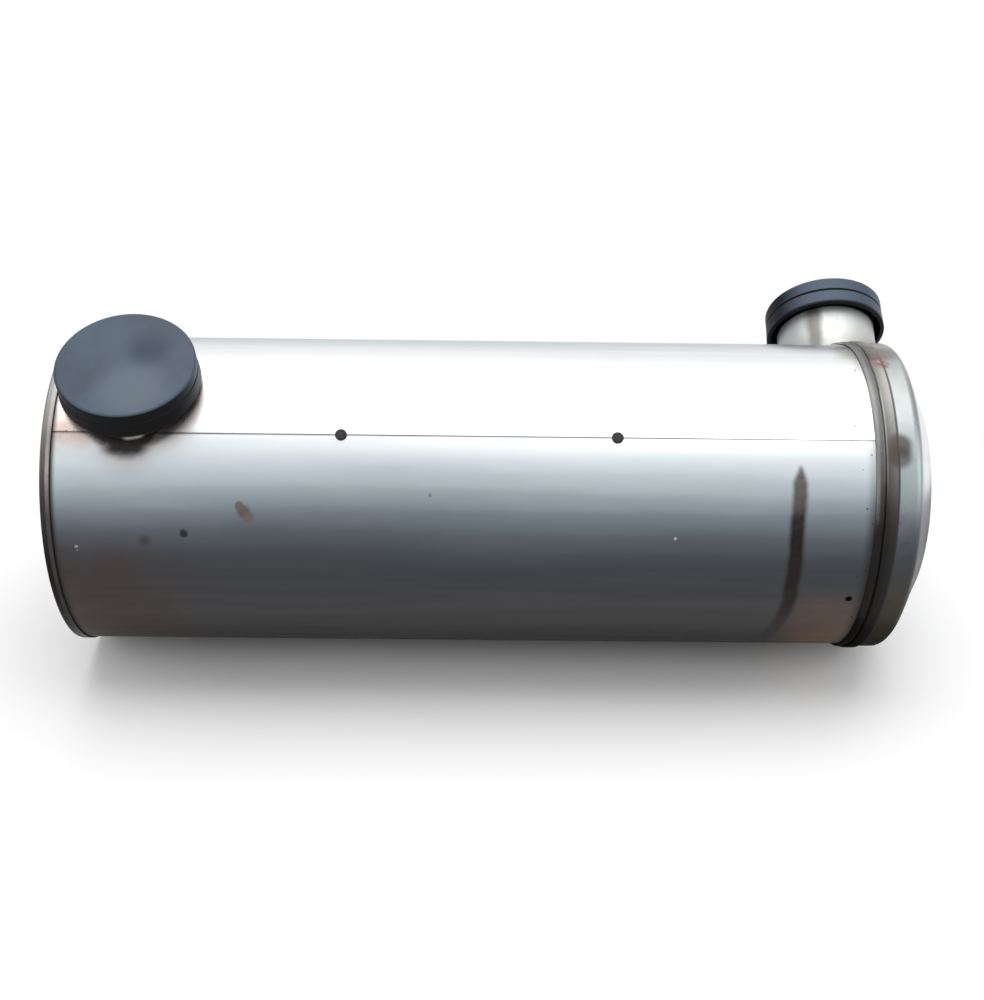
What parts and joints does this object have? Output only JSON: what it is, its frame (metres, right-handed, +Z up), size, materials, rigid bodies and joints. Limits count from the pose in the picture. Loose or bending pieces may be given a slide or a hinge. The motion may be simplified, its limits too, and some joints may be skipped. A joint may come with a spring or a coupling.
{
  "type": "catalyst module",
  "caption": "Round exhaust catalyst can with a locked left head, a stamped end cover, and radial inlet and outlet port tubes closed by push-on caps.",
  "frame": {"origin": "on the can's axis, midway between the left lip's face and the right end of the cover's hem, in the middle of the plain barrel", "axes": "+X along the can's axis from the inlet end to the outlet end, +Z up as in the picture, -Y to the viewer; the inlet points up and to the front, the outlet up and to the back"},
  "size_m": [0.9364, 0.4268, 0.391],
  "materials": {
    "wrap_steel": "satin rolled stainless",
    "head_steel": "heat-tinted folded stainless",
    "cover_steel": "satin stamped stainless",
    "weld_metal": "oxidised weld",
    "tube_steel": "satin drawn stainless",
    "rivet_steel": "blackened",
    "inner_steel": "mill finish",
    "cap_plastic": "matt moulded",
    "ceramic": "matt extruded",
    "fibre": "matt fibre"
  },
  "bodies": {
    "root": {"blanket_1": "fibre", "blanket_2": "fibre", "blanket_3": "fibre", "blanket_stop": "inner_steel", "brick_1": "ceramic", "brick_2": "ceramic", "brick_3": "ceramic", "cover_weld_ring": "weld_metal", "end_cover": "cover_steel", "flow_plate": "inner_steel", "head_pad": "fibre", "inlet_cap": "cap_plastic", "inlet_diffuser": "inner_steel", "inlet_flange": "tube_steel", "inlet_tube": "tube_steel", "inlet_weld": "weld_metal", "inner_can": "inner_steel", "inner_head": "inner_steel", "left_head": "head_steel", "mat_1": "fibre", "mat_2": "fibre", "mat_3": "fibre", "mat_ring_1_front": "inner_steel", "mat_ring_1_rear": "inner_steel", "mat_ring_2_front": "inner_steel", "mat_ring_2_rear": "inner_steel", "mat_ring_3_front": "inner_steel", "mat_ring_3_rear": "inner_steel", "outer_wrap": "wrap_steel", "outlet_cap": "cap_plastic", "outlet_flange": "tube_steel", "outlet_plate": "inner_steel", "outlet_tube": "tube_steel", "outlet_weld": "weld_metal", "seam_rivets": "rivet_steel", "spacer_ring_1": "inner_steel", "spacer_ring_2": "inner_steel"}
  },
  "joints": []
}
